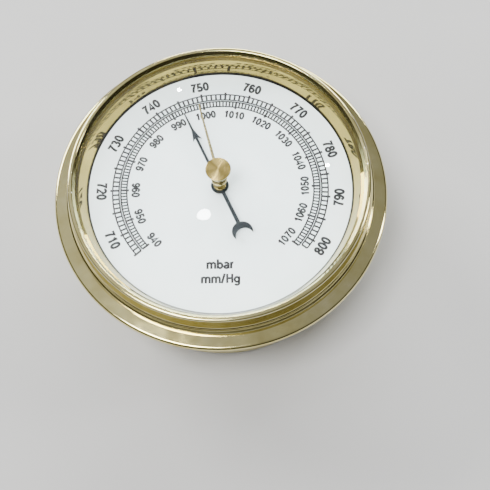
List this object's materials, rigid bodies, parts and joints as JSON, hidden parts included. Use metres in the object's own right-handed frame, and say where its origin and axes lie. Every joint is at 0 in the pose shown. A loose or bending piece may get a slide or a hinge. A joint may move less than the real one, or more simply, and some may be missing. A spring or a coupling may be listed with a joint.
{
  "type": "aneroid barometer",
  "caption": "Round brass panel barometer: white dial with pressure scales, blackened pointer, knob-turned set hand, and a capsule movement in a drum behind a flange.",
  "frame": {"origin": "centre of the back cover's outer face, on the dial's axis", "axes": "+Z out of the dial towards the viewer, +Y towards 12 o'clock, +X towards 3 o'clock"},
  "size_m": [0.085, 0.085, 0.0377],
  "materials": {
    "polished_brass": "polished and lacquered",
    "turned_brass": "turned, satin",
    "plate_brass": "grained plate",
    "gilt_reflector": "bright gilt, mirror polished",
    "capsule_alloy": "pressed bronze sheet, satin",
    "crystal_glass": "clear domed glass",
    "white_dial": "white lacquer with black printing",
    "black_rubber": "black, matt",
    "plain_steel": "bright, fine ground",
    "blued_steel": "blued",
    "blackened_steel": "blue-black lacquer"
  },
  "bodies": {
    "case": {"mounting_flange": "polished_brass", "case_drum": "polished_brass", "back_cover": "polished_brass", "back_cover_screws": "polished_brass", "bezel_ring": "polished_brass", "crystal": "crystal_glass", "crystal_gasket": "black_rubber", "reflector_ring": "gilt_reflector", "dial_gasket": "black_rubber", "dial": "white_dial", "dial_feet": "plain_steel", "dial_pillars": "plate_brass", "knob_washer": "turned_brass", "spring_washer": "turned_brass", "hairspring": "blued_steel", "hairspring_stud": "turned_brass", "lower_bridge_pillars": "plate_brass", "lower_bridge_plate": "plate_brass", "upper_bridge_pillars": "plate_brass", "upper_bridge_plate": "plate_brass", "bridge_screws": "plain_steel", "base_plate": "plate_brass", "movement_spacers": "plate_brass", "movement_screws": "polished_brass", "capsule_stud": "turned_brass", "capsule_nut": "turned_brass", "capsule_lower_diaphragm": "capsule_alloy", "capsule_upper_diaphragm": "capsule_alloy", "spring_block": "plain_steel", "spring_block_screws": "plain_steel", "main_spring": "blued_steel", "spring_clamp": "plain_steel", "spring_clamp_screws": "blued_steel", "rocker_bracket": "plate_brass", "rocker_bracket_screws": "plain_steel", "rocker_pivot_screws": "turned_brass"},
    "pointer": {"pointer": "blackened_steel", "pointer_boss": "turned_brass", "arbor": "plain_steel", "chain_drum": "turned_brass", "hairspring_collet": "turned_brass"},
    "set_hand": {"set_knob": "turned_brass", "set_hand": "turned_brass"},
    "lever": {"main_lever": "plain_steel", "compensation_strip": "turned_brass", "lever_rivets": "turned_brass", "lever_pin": "turned_brass"},
    "link": {"link_rod": "plain_steel"},
    "rocker": {"rocker_shaft": "plain_steel", "link_arm": "turned_brass", "chain_arm": "turned_brass", "arm_pins": "plain_steel"},
    "chain": {"chain": "plain_steel"},
    "post": {"capsule_post": "turned_brass", "post_pin": "plain_steel"},
    "adjuster": {"adjusting_screw": "turned_brass"}
  },
  "joints": [
    {"name": "pointer_turn", "type": "hinge", "parent": "case", "child": "pointer", "pos_m": [0, 0, 0.0264], "axis": [0, 0, 1], "range_deg": [-153.6, 106.4], "stiffness_Nm_per_rad": 0.00013, "deforming": ["hairspring"]},
    {"name": "set_hand_turn", "type": "hinge", "parent": "case", "child": "set_hand", "pos_m": [0, 0, 0.0324], "axis": [0, 0, 1], "continuous": true},
    {"name": "lever_rock", "type": "hinge", "parent": "case", "child": "lever", "pos_m": [-0.00583, 0, 0.0134], "axis": [0, -1, 0], "range_deg": [-2.95, 2.05], "deforming": ["main_spring"]},
    {"name": "link_slide", "type": "slide", "parent": "case", "child": "link", "axis": [0, 0, 1], "range_m": [-0.00143, 0.00099]},
    {"name": "rocker_turn", "type": "hinge", "parent": "case", "child": "rocker", "pos_m": [0.02462, 0, 0.0085], "axis": [0, 1, 0], "range_deg": [-31, 21.5]},
    {"name": "chain_run", "type": "slide", "parent": "case", "child": "chain", "axis": [1, 0, 0], "range_m": [-0.00595, 0.00415], "deforming": ["chain"]},
    {"name": "capsule_rise", "type": "slide", "parent": "case", "child": "post", "axis": [0, 0, 1], "range_m": [-0.0003, 0.00021], "deforming": ["capsule_upper_diaphragm"]},
    {"name": "adjuster_turn", "type": "hinge", "parent": "case", "child": "adjuster", "pos_m": [-0.0232, 0, 0.003], "axis": [0, 0, 1], "range_deg": [-180, 180]}
  ],
  "couplings": [
    {"joint": "lever_rock", "follows": "pointer_turn", "ratio": 0.018889},
    {"joint": "link_slide", "follows": "pointer_turn", "m_per_rad": 0.00052574},
    {"joint": "rocker_turn", "follows": "pointer_turn", "ratio": 0.2},
    {"joint": "chain_run", "follows": "pointer_turn", "m_per_rad": 0.0022},
    {"joint": "capsule_rise", "follows": "pointer_turn", "m_per_rad": 0.00011018}
  ]
}
